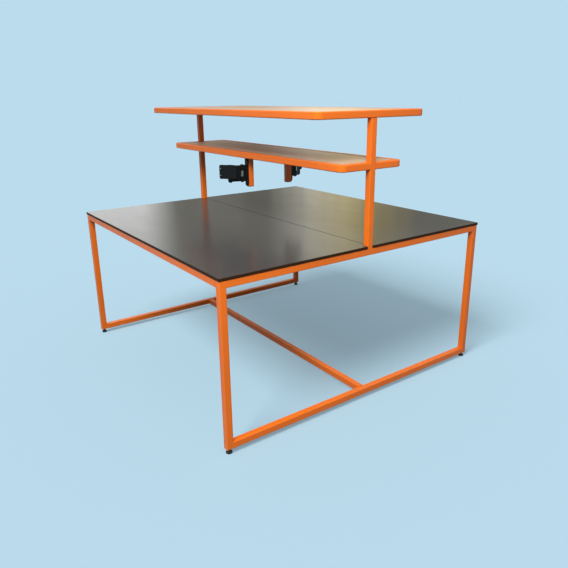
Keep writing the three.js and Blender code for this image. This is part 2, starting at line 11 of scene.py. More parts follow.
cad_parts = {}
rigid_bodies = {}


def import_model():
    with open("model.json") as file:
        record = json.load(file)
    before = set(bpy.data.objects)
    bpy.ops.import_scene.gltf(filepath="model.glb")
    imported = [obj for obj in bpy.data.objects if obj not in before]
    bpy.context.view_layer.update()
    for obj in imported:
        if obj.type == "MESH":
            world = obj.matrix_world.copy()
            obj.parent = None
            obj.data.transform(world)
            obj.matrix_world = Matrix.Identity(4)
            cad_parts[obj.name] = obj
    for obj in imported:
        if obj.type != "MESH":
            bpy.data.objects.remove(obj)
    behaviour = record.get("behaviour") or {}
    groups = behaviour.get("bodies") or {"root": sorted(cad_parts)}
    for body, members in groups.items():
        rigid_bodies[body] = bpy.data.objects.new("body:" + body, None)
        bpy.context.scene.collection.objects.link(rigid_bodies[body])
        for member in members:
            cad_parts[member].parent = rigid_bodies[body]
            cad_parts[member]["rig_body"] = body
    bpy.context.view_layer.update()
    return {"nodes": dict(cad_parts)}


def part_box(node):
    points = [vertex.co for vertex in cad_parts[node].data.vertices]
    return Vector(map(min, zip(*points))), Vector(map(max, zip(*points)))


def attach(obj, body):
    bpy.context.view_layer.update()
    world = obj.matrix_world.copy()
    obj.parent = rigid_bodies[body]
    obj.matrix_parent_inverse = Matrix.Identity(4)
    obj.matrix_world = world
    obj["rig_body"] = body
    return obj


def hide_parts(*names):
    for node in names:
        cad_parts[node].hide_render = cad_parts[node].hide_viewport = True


bl_info = {
    "name": "Benching desk",
    "version": (1, 0, 0),
    "blender": (4, 5, 0),
    "location": "View3D > Sidebar > Benching desk",
    "description": "Dresses the packed benching desk with its finishes and small parts",
    "category": "Object",
}

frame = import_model()

ENDS = ("left", "right")
SIDES = ("front", "back")
SHELVES = ("lower", "upper")
BARS = ("left", "middle", "right")
BOLTS = (1, 2)
BASE = "frame"

# The way along Y to the user of each side
OUTWARD = {"front": -1.0, "back": 1.0}


class DeskFinishes(bpy.types.PropertyGroup):
    """Colours of the desk's finishes."""

    coat: FloatVectorProperty(
        name="Powder coat",
        description="Orange of the tube frame",
        subtype="COLOR",
        default=(0.94, 0.19, 0.012),
    )
    laminate: FloatVectorProperty(
        name="Desktop laminate",
        description="Dark grey face of the desktops",
        subtype="COLOR",
        default=(0.061, 0.062, 0.0645),
    )
    core: FloatVectorProperty(
        name="Board edge",
        description="Brown-black core that shows at the edges of the boards",
        subtype="COLOR",
        default=(0.034, 0.015, 0.007),
    )
    shelf: FloatVectorProperty(
        name="Shelf laminate",
        description="Pale grey-brown face of the shelf boards",
        subtype="COLOR",
        default=(0.68, 0.48, 0.35),
    )
    black: FloatVectorProperty(
        name="Bracket coat",
        description="Black coat of the monitor brackets",
        subtype="COLOR",
        default=(0.006, 0.006, 0.006),
    )
    plastic: FloatVectorProperty(
        name="Plastic",
        description="Feet, inserts and plugs",
        subtype="COLOR",
        default=(0.011, 0.011, 0.012),
    )
    zinc: FloatVectorProperty(
        name="Zinc plate",
        description="Bare strips of the brake sleeves, and board screws",
        subtype="COLOR",
        default=(0.32, 0.31, 0.27),
    )
    oxide: FloatVectorProperty(
        name="Black oxide",
        description="Pins, axles and bolts of the monitor brackets",
        subtype="COLOR",
        default=(0.024, 0.024, 0.026),
    )


class DeskStage(bpy.types.PropertyGroup):
    """Colours and levels of the floor and the light."""

    backdrop: FloatVectorProperty(
        name="Backdrop",
        description="Pale blue of the lit floor and of what lies behind it",
        subtype="COLOR",
        default=(0.497, 0.716, 0.847),
    )
    bounce: FloatVectorProperty(
        name="Bounce",
        description="Dark grey of the light that the floor sends back to the desk",
        subtype="COLOR",
        default=(0.08, 0.078, 0.076),
    )
    sky: FloatVectorProperty(
        name="Sky",
        description="Colour of the even light all round",
        subtype="COLOR",
        default=(1.0, 0.99, 0.97),
    )
    sky_level: FloatProperty(
        name="Sky level",
        description="Share of the light that comes from all round",
        default=0.27,
    )
    sun: FloatVectorProperty(
        name="Sun",
        description="Colour of the main light",
        subtype="COLOR",
        default=(1.0, 0.98, 0.94),
    )
    sun_level: FloatProperty(
        name="Sun level",
        description="Share of the floor's light that comes from the main light",
        default=0.95,
    )
    sun_spread: FloatProperty(
        name="Sun spread",
        description="Angle across the main light, which softens the shadow",
        subtype="ANGLE",
        default=math.radians(28),
    )
    sun_towards: FloatVectorProperty(
        name="Sun direction",
        description="Direction in which the main light travels",
        subtype="XYZ",
        default=(-0.26, 0.92, -1.0),
    )
    desk_sun_level: FloatProperty(
        name="Desk sun level",
        description="Share of the desk's light that comes from the main light",
        default=0.3,
    )
    lamp_level: FloatProperty(
        name="Lamp level",
        description="Light of the ceiling lamp on a face turned to it from a metre away",
        default=11.2,
    )
    lamp_size: FloatProperty(
        name="Lamp size",
        description="Side of the square ceiling lamp",
        unit="LENGTH",
        default=1.4,
    )
    lamp_place: FloatVectorProperty(
        name="Lamp place",
        description="Middle of the ceiling lamp, above the camera",
        subtype="XYZ",
        default=(2.33, -1.86, 2.99),
    )
    fill_level: FloatProperty(
        name="Fill level",
        description="Level of the broad fill light on the sides away from the camera",
        default=0.65,
    )
    fill_spread: FloatProperty(
        name="Fill spread",
        description="Angle across the fill light",
        subtype="ANGLE",
        default=math.radians(70),
    )
    fill_towards: FloatVectorProperty(
        name="Fill direction",
        description="Direction in which the fill light travels, towards the camera",
        subtype="XYZ",
        default=(1.0, -1.2, -0.25),
    )
    floor_glow: FloatProperty(
        name="Floor glow",
        description="Share of the floor's look that no shadow takes away",
        subtype="FACTOR",
        default=0.36,
    )
    room_glow: FloatProperty(
        name="Room glow",
        description="Brightness of the dim room that the boards reflect",
        default=0.28,
    )
    window_glow: FloatProperty(
        name="Window glow",
        description="Brightness of the windows that the boards reflect",
        default=0.9,
    )


class DeskSizes(bpy.types.PropertyGroup):
    """Sizes of what is added to the solids."""

    edge_ease: FloatProperty(
        name="Edge ease",
        description="Radius that takes the sharpness off each edge",
        unit="LENGTH",
        default=0.0005,
    )
    tube_ease: FloatProperty(
        name="Tube end ease",
        description="Radius that takes the sharpness off the cut ends of the tubes",
        unit="LENGTH",
        default=0.0003,
    )
    corner_round: FloatProperty(
        name="Tube corner round",
        description="Width that is rounded over on each side of a tube's corner flat",
        unit="LENGTH",
        default=0.0011,
    )
    weld_radius: FloatProperty(
        name="Weld bead",
        description="Radius of the weld bead in the inner corners",
        unit="LENGTH",
        default=0.0019,
    )
    weld_pitch: FloatProperty(
        name="Weld pitch",
        description="Distance between the ripples of a weld",
        unit="LENGTH",
        default=0.0016,
    )
    screw_head: FloatProperty(
        name="Board screw head",
        description="Radius of the screw heads under the desktops and the shelf boards",
        unit="LENGTH",
        default=0.0046,
    )
    bolt_head: FloatProperty(
        name="Wall bolt head",
        description="Radius of the bolt heads on the wall brackets",
        unit="LENGTH",
        default=0.0055,
    )
    bolt_rise: FloatProperty(
        name="Wall bolt rise",
        description="Height of the bolt heads on the wall brackets",
        unit="LENGTH",
        default=0.0032,
    )
    tab_spread: FloatProperty(
        name="Tab spread",
        description="Distance of the fixing tabs' screws from the middle of the desk",
        unit="LENGTH",
        default=0.4,
    )
    tab_thick: FloatProperty(
        name="Tab thickness",
        description="Thickness of the fixing tabs under the desktops",
        unit="LENGTH",
        default=0.003,
    )
    foot_ribs: IntProperty(
        name="Foot ribs",
        description="Grip ribs round the rim of a foot",
        default=30,
    )
    thread_pitch: FloatProperty(
        name="Foot thread",
        description="Pitch of the thread on the levelling screw",
        unit="LENGTH",
        default=0.00125,
    )
    strip_reach: FloatProperty(
        name="Bare strip",
        description="Angle to each side over which a brake sleeve is bare",
        subtype="ANGLE",
        default=math.radians(95),
    )


# Shader building


def add_node(tree, kind, **settings):
    """A new node with some of its settings changed."""
    made = tree.nodes.new(kind)
    for key, value in settings.items():
        setattr(made, key, value)
    return made


def start_material(name, **values):
    """A material with values on its shader, and the Object coordinates for its patterns."""
    material = bpy.data.materials.new(name)
    material.use_nodes = True
    tree = material.node_tree
    shader = tree.nodes["Principled BSDF"]
    for socket, value in values.items():
        shader.inputs[socket.replace("_", " ")].default_value = value
    place = add_node(tree, "ShaderNodeTexCoord").outputs["Object"]
    return material, tree, shader, place


def noise(tree, place, scale, detail=2.0, roughness=0.5, stretch=None):
    """Noise over a place, which may be stretched along the axes first."""
    if stretch:
        mapping = add_node(tree, "ShaderNodeMapping")
        mapping.inputs["Scale"].default_value = stretch
        tree.links.new(place, mapping.inputs["Vector"])
        place = mapping.outputs["Vector"]
    made = add_node(tree, "ShaderNodeTexNoise")
    made.inputs["Scale"].default_value = scale
    made.inputs["Detail"].default_value = detail
    made.inputs["Roughness"].default_value = roughness
    tree.links.new(place, made.inputs["Vector"])
    return made.outputs["Fac"]


def remap(tree, value, to_low=0.0, to_high=1.0, low=0.3, high=0.7):
    """Spreads a value over a new range; most of a noise lies between the old limits given here."""
    made = add_node(tree, "ShaderNodeMapRange")
    made.inputs["From Min"].default_value = low
    made.inputs["From Max"].default_value = high
    made.inputs["To Min"].default_value = to_low
    made.inputs["To Max"].default_value = to_high
    tree.links.new(value, made.inputs["Value"])
    return made.outputs["Result"]


def blend(tree, factor, first, second):
    """Mixes two colours, each a plain colour or a socket."""
    made = add_node(tree, "ShaderNodeMix", data_type="RGBA")
    tree.links.new(factor, made.inputs["Factor"])
    for socket, colour in ((made.inputs[6], first), (made.inputs[7], second)):
        if isinstance(colour, bpy.types.NodeSocket):
            tree.links.new(colour, socket)
        else:
            socket.default_value = (*colour, 1.0)
    return made.outputs[2]


def relief(tree, shader, heights):
    """Chains bumps, each a (height, strength, depth) triple, into the shader's normal."""
    normal = None
    for height, strength, depth in heights:
        bump = add_node(tree, "ShaderNodeBump")
        bump.inputs["Strength"].default_value = strength
        bump.inputs["Distance"].default_value = depth
        tree.links.new(height, bump.inputs["Height"])
        if normal:
            tree.links.new(normal, bump.inputs["Normal"])
        normal = bump.outputs["Normal"]
    tree.links.new(normal, shader.inputs["Normal"])


def paint(tree, shader, colour, roughness):
    """Feeds a shader its colour and its roughness."""
    tree.links.new(colour, shader.inputs["Base Color"])
    tree.links.new(roughness, shader.inputs["Roughness"])


def shade(colour, factor):
    """A lighter or darker colour."""
    return tuple(min(1.0, channel * factor) for channel in colour)


def powder_coat(name, colour, dull, shine):
    """Stoved powder paint: fine orange peel, a soft change of tone, eased square edges paler in
    random patches.
    """
    material, tree, shader, place = start_material(name, Specular_IOR_Level=shine)
    tone = remap(tree, noise(tree, place, scale=3.2, detail=3.0))
    body = blend(tree, tone, shade(colour, 0.93), shade(colour, 1.04))
    edge = add_node(tree, "ShaderNodeAttribute", attribute_name="edge").outputs["Fac"]
    patches = remap(tree, noise(tree, place, scale=60.0, detail=4.0), to_high=0.5, low=0.45)
    paling = add_node(tree, "ShaderNodeMath", operation="MULTIPLY")
    tree.links.new(edge, paling.inputs[0])
    tree.links.new(patches, paling.inputs[1])
    # Paler tint of the coat, blended in random patches over the faces eased at square edges
    keep, lift = 0.6, 0.18
    pale_edge = tuple(keep * channel + lift for channel in colour)
    sheen = remap(tree, noise(tree, place, scale=26.0, detail=3.0), dull - 0.05, dull + 0.06)
    paint(tree, shader, blend(tree, paling.outputs[0], body, pale_edge), sheen)
    peel = noise(tree, place, scale=420.0)
    grain = noise(tree, place, scale=1500.0)
    relief(tree, shader, [(peel, 0.12, 0.0004), (grain, 0.1, 0.0001)])
    return material


def board_laminate(name, face, dull, shine):
    """Laminate with fine flecks and wiped smears."""
    material, tree, shader, place = start_material(name, Specular_IOR_Level=shine)
    specks = noise(tree, place, scale=620.0, detail=3.0, roughness=0.6)
    fleck = remap(tree, specks, low=0.42, high=0.66)
    cloud = remap(tree, noise(tree, place, scale=2.6, detail=3.0))
    ground = blend(tree, cloud, shade(face, 0.95), shade(face, 1.05))
    wiped = noise(tree, place, scale=5.0, detail=4.0, roughness=0.6, stretch=(1.0, 2.4, 1.0))
    smear = remap(tree, wiped, dull - 0.02, dull + 0.03, high=0.72)
    paint(tree, shader, blend(tree, fleck, ground, shade(face, 1.04)), smear)
    pearl = noise(tree, place, scale=1100.0)
    relief(tree, shader, [(pearl, 0.01, 0.0001)])
    return material


def board_core(name, colour):
    """The sawn brown-black core at a board's edge: dull, with a fine grit."""
    material, tree, shader, place = start_material(name, Specular_IOR_Level=0.08)
    grit = remap(tree, noise(tree, place, scale=240.0, detail=4.0), low=0.35, high=0.75)
    dull = remap(tree, noise(tree, place, scale=300.0), 0.5, 0.65)
    paint(tree, shader, blend(tree, grit, shade(colour, 0.8), shade(colour, 1.6)), dull)
    relief(tree, shader, [(grit, 0.15, 0.0002)])
    return material


def moulded_plastic(name, colour):
    """Black plastic with the fine texture of its mould."""
    material, tree, shader, place = start_material(name, Specular_IOR_Level=0.4)
    tone = remap(tree, noise(tree, place, scale=40.0, detail=3.0))
    dull = remap(tree, noise(tree, place, scale=90.0), 0.46, 0.62)
    paint(tree, shader, blend(tree, tone, shade(colour, 0.8), shade(colour, 1.5)), dull)
    texture = noise(tree, place, scale=1300.0, detail=3.0)
    relief(tree, shader, [(texture, 0.2, 0.0001)])
    return material


def plated_steel(name, colour):
    """Turned steel under zinc or black oxide, with fine rings and a warm cast here and there."""
    material, tree, shader, place = start_material(name, Metallic=1.0)
    tone = remap(tree, noise(tree, place, scale=120.0, detail=3.0))
    cast = (1.05, 0.99, 0.88)
    warm = tuple(channel * share for channel, share in zip(colour, cast))
    turned = noise(tree, place, scale=300.0, detail=3.0, roughness=0.6, stretch=(0.25, 0.25, 6.0))
    paint(tree, shader, blend(tree, tone, colour, warm), remap(tree, turned, 0.24, 0.44))
    relief(tree, shader, [(turned, 0.12, 0.0001)])
    return material


def finish_of(context, slot):
    """The material of a slot of the record or of a board's core, made when first asked for."""
    known = bpy.data.materials.get(slot + "_finish")
    if known:
        return known
    look = context.scene.desk_finishes
    makers = {
        "orange_powder_coat": (powder_coat, look.coat, {"dull": 0.37, "shine": 0.36}),
        "black_powder_coat": (powder_coat, look.black, {"dull": 0.5, "shine": 0.2}),
        "desktop_board": (board_laminate, look.laminate, {"dull": 0.21, "shine": 0.42}),
        "shelf_board": (board_laminate, look.shelf, {"dull": 0.36, "shine": 0.36}),
        "board_core": (board_core, look.core, {}),
        "black_plastic": (moulded_plastic, look.plastic, {}),
        "zinc_steel": (plated_steel, look.zinc, {}),
        "blackened_steel": (plated_steel, look.oxide, {}),
    }
    maker, colour, gloss = makers[slot]
    return maker(slot + "_finish", tuple(colour), **gloss)


# Mesh building

MERGE_REACH = 2e-6
# Angles between faces, in degrees: on a flat, at the corner flats of a tube, at square edges
FLAT_FOLD = 0.5
CORNER_FOLDS = (40, 50)
SQUARE_FOLDS = (50, 180)
# Angles up to which an edge is shaded smooth
SOLID_SMOOTH = 42
TURNED_SMOOTH = 38
FOOT_SMOOTH = 34
# Upward share of the normal from which a board's face counts as level
LEVEL_NORMAL = 0.9
# Gap between a foot's neck and its insert, and the insert's own edge radius
INSERT_GAP = 0.0003
INSERT_EASE = 0.0003
# Growth of a foot's rim at its ribs, and at their rounded ends
RIB_SWELL = 1.045
RIB_END_SWELL = 1.02
SCREW_STEPS = 24


def body_of_node(node):
    """The body that a solid belongs to."""
    return frame["nodes"][node]["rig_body"]


def link_piece(name, mesh, slot, body, context):
    """Puts a mesh in the scene as a piece with its finish and its body."""
    piece = bpy.data.objects.new(name, mesh)
    context.scene.collection.objects.link(piece)
    mesh.materials.clear()
    mesh.materials.append(finish_of(context, slot))
    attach(piece, body)
    return piece


def smooth_by_angle(bm, degrees):
    """Shades a mesh smooth but for the edges that turn further than an angle."""
    limit = math.radians(degrees)
    for face in bm.faces:
        face.smooth = True
    for edge in bm.edges:
        edge.smooth = len(edge.link_faces) == 2 and edge.calc_face_angle(0.0) < limit


def keep_result(context, piece, modifier):
    """Turns what a modifier makes of a piece into its plain mesh."""
    depsgraph = context.evaluated_depsgraph_get()
    made = bpy.data.meshes.new_from_object(piece.evaluated_get(depsgraph))
    piece.modifiers.remove(modifier)
    old = piece.data
    piece.data = made
    made.name = piece.name
    bpy.data.meshes.remove(old)


def settle_normals(context, piece):
    """Weighs the normals by face area, so that wide flats stay flat beside small rounds."""
    weigh = piece.modifiers.new("weighted", "WEIGHTED_NORMAL")
    weigh.keep_sharp = True
    weigh.weight = 90
    keep_result(context, piece, weigh)


def ease_folds(bm, limits, width):
    """Rounds over the edges whose faces turn between two angles, and gives back the new faces."""
    low, high = (math.radians(limit) for limit in limits)
    paired = [edge for edge in bm.edges if len(edge.link_faces) == 2]
    made = bmesh.ops.bevel(
        bm,
        geom=[edge for edge in paired if low < edge.calc_face_angle(0.0) <= high],
        offset=width,
        offset_type="OFFSET",
        segments=2,
        profile=0.5,
        affect="EDGES",
        clamp_overlap=True,
    )
    return made["faces"]


def eased_mesh(node, ease, corner=None):
    """A merged copy of a solid whose edges are eased; the eased faces carry the edge attribute."""
    bm = bmesh.new()
    bm.from_mesh(frame["nodes"][node].data)
    bmesh.ops.remove_doubles(bm, verts=bm.verts, dist=MERGE_REACH)
    flat = math.radians(FLAT_FOLD)
    bmesh.ops.dissolve_limit(bm, angle_limit=flat, verts=bm.verts, edges=bm.edges)
    pale_edge = bm.faces.layers.float.new("edge")
    if corner:
        ease_folds(bm, CORNER_FOLDS, corner)
    for face in ease_folds(bm, SQUARE_FOLDS, ease):
        face[pale_edge] = 1.0
    mesh = bmesh_to_mesh(bm, node + "_piece", SOLID_SMOOTH)
    for layer in ("custom_normal", "UVMap"):
        if layer in mesh.attributes:
            mesh.attributes.remove(mesh.attributes[layer])
    return mesh


def dress(context, nodes, slot, ease=None, corner=None):
    """Replaces solids by eased copies of themselves in the finish of their slot."""
    radius = ease or context.scene.desk_sizes.edge_ease
    for node in nodes:
        mesh = eased_mesh(node, radius, corner)
        piece = link_piece(node + "_piece", mesh, slot, body_of_node(node), context)
        settle_normals(context, piece)
        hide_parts(node)


def dress_tubes(context, nodes):
    """Dresses tubes: tight at their welded ends, rounded along their corners."""
    sizes = context.scene.desk_sizes
    dress(context, nodes, "orange_powder_coat", sizes.tube_ease, sizes.corner_round)


def face_edges(context, piece):
    """Gives the upright faces of a board the finish of its dark core."""
    piece.data.materials.append(finish_of(context, "board_core"))
    for face in piece.data.polygons:
        if abs(face.normal.z) < LEVEL_NORMAL:
            face.material_index = 1


def coat_far_side(context, piece, towards):
    """Coats a brake sleeve black, but for the bare strip on the side that faces its user."""
    piece.data.materials.append(finish_of(context, "black_powder_coat"))
    strip = math.cos(context.scene.desk_sizes.strip_reach)
    for face in piece.data.polygons:
        if face.normal.y * towards < strip:
            face.material_index = 1


def lathe(profile, steps):
    """A turned bmesh from rows of radius, height and, if any, the growth of every other step."""
    bm = bmesh.new()
    rows = []
    for radius, height, *ribs in profile:
        if radius == 0:
            rows.append([bm.verts.new((0, 0, height))])
            continue
        row = []
        for step in range(steps):
            reach = radius * ribs[0] if ribs and step % 2 else radius
            angle = 2 * math.pi * step / steps
            row.append(bm.verts.new((reach * math.cos(angle), reach * math.sin(angle), height)))
        rows.append(row)
    for low, high in zip(rows, rows[1:]):
        for step in range(steps):
            after = (step + 1) % steps
            corners = [
                low[step % len(low)],
                low[after % len(low)],
                high[after % len(high)],
                high[step % len(high)],
            ]
            bm.faces.new(list(dict.fromkeys(corners)))
    bmesh.ops.recalc_face_normals(bm, faces=bm.faces)
    return bm


def draw_to_hexagon(verts, width=1.0):
    """Draws points of a round in to a hexagon; a width over one leaves the corners round."""
    for vert in verts:
        angle = math.atan2(vert.co.y, vert.co.x) % (math.pi / 3) - math.pi / 6
        shrink = min(1.0, math.cos(math.pi / 6) * width / math.cos(angle))
        vert.co.x *= shrink
        vert.co.y *= shrink


def bmesh_to_mesh(bm, name, smooth):
    """Ends a bmesh as a mesh that is shaded smooth up to an angle."""
    smooth_by_angle(bm, smooth)
    mesh = bpy.data.meshes.new(name)
    bm.to_mesh(mesh)
    bm.free()
    return mesh


def foot_mesh(rim, shoulder, top, sizes):
    """A foot from the floor up: grip rim, neck with flats, and thread rings on the stem."""
    pad = rim * 0.66
    grip = rim / RIB_SWELL
    neck = rim * 0.59
    stem = rim * 0.296
    hollow = 0.0008
    profile = [
        (0, hollow),
        (rim * 0.7, hollow),
        (rim * 0.74, 0),
        (grip * 0.93, 0),
        (grip, pad * 0.16, RIB_SWELL),
        (grip, pad * 0.66, RIB_SWELL),
        (grip * 0.93, pad * 0.86, RIB_END_SWELL),
        (grip * 0.76, pad),
        (neck * 1.06, pad * 1.04),
        (neck, pad * 1.12),
        (neck, shoulder),
        (stem, shoulder),
    ]
    pitch = sizes.thread_pitch
    for turn in range(int((top - shoulder) / pitch)):
        height = shoulder + turn * pitch
        profile += [(stem * 0.84, height + pitch * 0.35), (stem, height + pitch * 0.85)]
    profile += [(stem * 0.8, top), (0, top)]
    bm = lathe(profile, 2 * sizes.foot_ribs)
    upper = [vert for vert in bm.verts if pad * 1.1 < vert.co.z <= shoulder]
    draw_to_hexagon([vert for vert in upper if vert.co.xy.length > stem * 1.2], width=1.06)
    return bmesh_to_mesh(bm, "foot", FOOT_SMOOTH)


def socket_screw(name, head, height, socket, shank, length):
    """A button-head screw with a hexagon socket: head above z = 0, shank below."""
    profile = [
        (0, -length),
        (shank * 0.8, -length),
        (shank, -length + shank * 0.25),
        (shank, 0),
        (head, 0),
        (head, height * 0.3),
        (head * 0.86, height * 0.72),
        (head * 0.6, height * 0.96),
        (socket, height),
        (socket * 0.94, height * 0.4),
        (0, height * 0.34),
    ]
    bm = lathe(profile, SCREW_STEPS)
    upper = [vert for vert in bm.verts if vert.co.z > height * 0.38]
    draw_to_hexagon([vert for vert in upper if abs(vert.co.xy.length - socket) < socket * 0.08])
    return bpy.data.objects.new(name, bmesh_to_mesh(bm, name, TURNED_SMOOTH))


# Geometry node trees

# Sizes of the weld's beads, as shares of their radius, and the seed that draws them
BEAD_SHARES = (0.86, 1.1)
BEAD_SEED = 7


def group_tree(name, inputs):
    """An empty tree with its inputs, and the nodes where it starts and ends."""
    tree = bpy.data.node_groups.new(name, "GeometryNodeTree")
    tree.interface.new_socket("Geometry", in_out="INPUT", socket_type="NodeSocketGeometry")
    for label, kind in inputs:
        tree.interface.new_socket(label, in_out="INPUT", socket_type=kind)
    tree.interface.new_socket("Geometry", in_out="OUTPUT", socket_type="NodeSocketGeometry")
    return tree, tree.nodes.new("NodeGroupInput"), tree.nodes.new("NodeGroupOutput")


def close_tree(tree, source, enter, leave):
    """Ends a tree: realized, smooth, in the material of its input."""
    realize = tree.nodes.new("GeometryNodeRealizeInstances")
    smooth = tree.nodes.new("GeometryNodeSetShadeSmooth")
    finish = tree.nodes.new("GeometryNodeSetMaterial")
    link = tree.links.new
    link(source, realize.inputs["Geometry"])
    link(realize.outputs["Geometry"], smooth.inputs["Geometry"])
    link(smooth.outputs["Geometry"], finish.inputs["Geometry"])
    link(enter.outputs["Material"], finish.inputs["Material"])
    link(finish.outputs["Geometry"], leave.inputs["Geometry"])


def weld_tree():
    """Overlapping beads along each edge of the incoming wire."""
    inputs = [
        ("Bead radius", "NodeSocketFloat"),
        ("Pitch", "NodeSocketFloat"),
        ("Material", "NodeSocketMaterial"),
    ]
    tree, enter, leave = group_tree("weld_bead", inputs)
    curve = tree.nodes.new("GeometryNodeMeshToCurve")
    resample = add_node(tree, "GeometryNodeResampleCurve", mode="LENGTH")
    bead = tree.nodes.new("GeometryNodeMeshUVSphere")
    bead.inputs["Segments"].default_value = 8
    bead.inputs["Rings"].default_value = 6
    spread = tree.nodes.new("GeometryNodeInstanceOnPoints")
    vary = add_node(tree, "FunctionNodeRandomValue", data_type="FLOAT")
    vary.inputs[2].default_value, vary.inputs[3].default_value = BEAD_SHARES
    vary.inputs["Seed"].default_value = BEAD_SEED
    link = tree.links.new
    link(enter.outputs["Geometry"], curve.inputs["Mesh"])
    link(curve.outputs["Curve"], resample.inputs["Curve"])
    link(enter.outputs["Pitch"], resample.inputs["Length"])
    link(enter.outputs["Bead radius"], bead.inputs["Radius"])
    link(resample.outputs["Curve"], spread.inputs["Points"])
    link(bead.outputs["Mesh"], spread.inputs["Instance"])
    link(vary.outputs[1], spread.inputs["Scale"])
    close_tree(tree, spread.outputs["Instances"], enter, leave)
    return tree


def screw_tree():
    """One screw at each incoming point, its head turned along the facing attribute."""
    inputs = [("Screw", "NodeSocketObject"), ("Material", "NodeSocketMaterial")]
    tree, enter, leave = group_tree("screw_set", inputs)
    screw = tree.nodes.new("GeometryNodeObjectInfo")
    facing = add_node(tree, "GeometryNodeInputNamedAttribute", data_type="FLOAT_VECTOR")
    facing.inputs["Name"].default_value = "facing"
    turn = add_node(tree, "FunctionNodeAlignRotationToVector", axis="Z")
    spread = tree.nodes.new("GeometryNodeInstanceOnPoints")
    link = tree.links.new
    link(enter.outputs["Screw"], screw.inputs["Object"])
    link(enter.outputs["Geometry"], spread.inputs["Points"])
    link(screw.outputs["Geometry"], spread.inputs["Instance"])
    link(facing.outputs["Attribute"], turn.inputs["Vector"])
    link(turn.outputs["Rotation"], spread.inputs["Rotation"])
    close_tree(tree, spread.outputs["Instances"], enter, leave)
    return tree


def grow(context, name, seed_mesh, tree, values, slot, body):
    """Runs a tree on a seed mesh and keeps its result as a plain piece."""
    piece = bpy.data.objects.new(name, seed_mesh)
    context.scene.collection.objects.link(piece)
    modifier = piece.modifiers.new("grow", "NODES")
    modifier.node_group = tree
    inputs = [item for item in tree.interface.items_tree if item.in_out == "INPUT"]
    sockets = {item.name: item.identifier for item in inputs}
    for label, value in values.items():
        modifier[sockets[label]] = value
    modifier[sockets["Material"]] = finish_of(context, slot)
    context.view_layer.update()
    keep_result(context, piece, modifier)
    if not piece.data.polygons:
        raise RuntimeError(name + " came out empty")
    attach(piece, body)
    return piece


def drop_template(template):
    """Removes the shape that a tree was given to repeat."""
    mesh = template.data
    bpy.data.objects.remove(template)
    bpy.data.meshes.remove(mesh)


def point_seed(name, places):
    """A mesh of loose points, each a (place, facing) pair."""
    mesh = bpy.data.meshes.new(name)
    mesh.from_pydata([place for place, _ in places], [], [])
    facing = mesh.attributes.new("facing", "FLOAT_VECTOR", "POINT")
    for item, (_, direction) in zip(facing.data, places):
        item.vector = direction
    return mesh


# Places of the fasteners and welds

# Where the screws of a shelf board sit along a cross bar, as shares of its length
SCREW_SHARES = (0.16, 0.84)
# Share to which the bar with the drop posts draws its screws in, so that they clear the posts
DROP_BAR_SHARE = 0.6
DOWN = (0, 0, -1)
# Distance by which a weld stops short of the ends of its corner
WELD_KEEP_IN = 0.003


def wall_bolt_places(sizes):
    """Seats of the wall bolts' heads, each with the way to its user."""
    places = []
    for side, out in OUTWARD.items():
        for number in BOLTS:
            low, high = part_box(f"wall_bolt_{side}_{number}")
            seat = (low.y + sizes.bolt_rise) if side == "front" else (high.y - sizes.bolt_rise)
            places.append((((low.x + high.x) / 2, seat, (low.z + high.z) / 2), (0, out, 0)))
    return places


def shelf_screw_places():
    """Seats of the screws that go up through the cross bars into the shelf boards."""
    places = []
    for shelf in SHELVES:
        for bar in BARS:
            low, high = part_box(f"{shelf}_bar_{bar}")
            for share in SCREW_SHARES:
                y = low.y + (high.y - low.y) * share
                if shelf == "lower" and bar == "middle":
                    y *= DROP_BAR_SHARE
                places.append((((low.x + high.x) / 2, y, low.z), DOWN))
    return places


def tab_screw_places(sizes):
    """Seats of the screws that go up through the fixing tabs into the desktops."""
    tubes = {
        "side_rail_front": "leg_left_front",
        "side_rail_back": "leg_left_back",
        "seam_beam": "floor_stretcher",
    }
    places = []
    for rail, tube in tubes.items():
        low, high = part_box(rail)
        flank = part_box(tube)
        for tab_end, face in ((low.y, flank[0].y), (high.y, flank[1].y)):
            if abs(tab_end - face) > sizes.screw_head:
                for x in (-sizes.tab_spread, sizes.tab_spread):
                    places.append(((x, (tab_end + face) / 2, high.z - sizes.tab_thick), DOWN))
    return places


def upright_runs(low, high, places):
    """Upright welds at both limits of a tube along X, at each of some places along Y."""
    bottom, top = low.z + WELD_KEEP_IN, high.z - WELD_KEEP_IN
    return [((x, y, bottom), (x, y, top)) for x in (low.x, high.x) for y in places]


def level_run(low, high, y, z):
    """A weld along X across a tube."""
    return (low.x + WELD_KEEP_IN, y, z), (high.x - WELD_KEEP_IN, y, z)


def weld_runs():
    """Ends of the welds in the corners of the frame, the shelf rings and the drop posts."""
    runs = []
    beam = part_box("floor_stretcher")
    for node in ("floor_stretcher", "seam_beam"):
        low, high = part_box(node)
        runs += upright_runs(low, high, (beam[0].y, beam[1].y))
    for side in SIDES:
        low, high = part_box(f"side_rail_{side}")
        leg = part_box(f"leg_left_{side}")
        runs += upright_runs(low, high, (leg[1].y if side == "front" else leg[0].y,))
    for shelf in SHELVES:
        for bar in BARS:
            low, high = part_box(f"{shelf}_bar_{bar}")
            runs += upright_runs(low, high, (low.y, high.y))
        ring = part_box(f"{shelf}_ring_front")
        levels = (ring[0].z, ring[1].z) if shelf == "lower" else (ring[0].z,)
        for end in ENDS:
            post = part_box(f"post_{end}")
            runs += [level_run(*post, y, z) for y in (post[0].y, post[1].y) for z in levels]
    for side in SIDES:
        low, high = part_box(f"drop_post_{side}")
        runs.append(level_run(low, high, low.y if side == "front" else high.y, high.z))
    return runs


# Stage

MATT = {"Roughness": 1.0, "Specular_IOR_Level": 0.0}
# Half the side of the floor, and how far it lies under the feet
FLOOR_REACH = 80.0
FLOOR_DROP = 0.0005

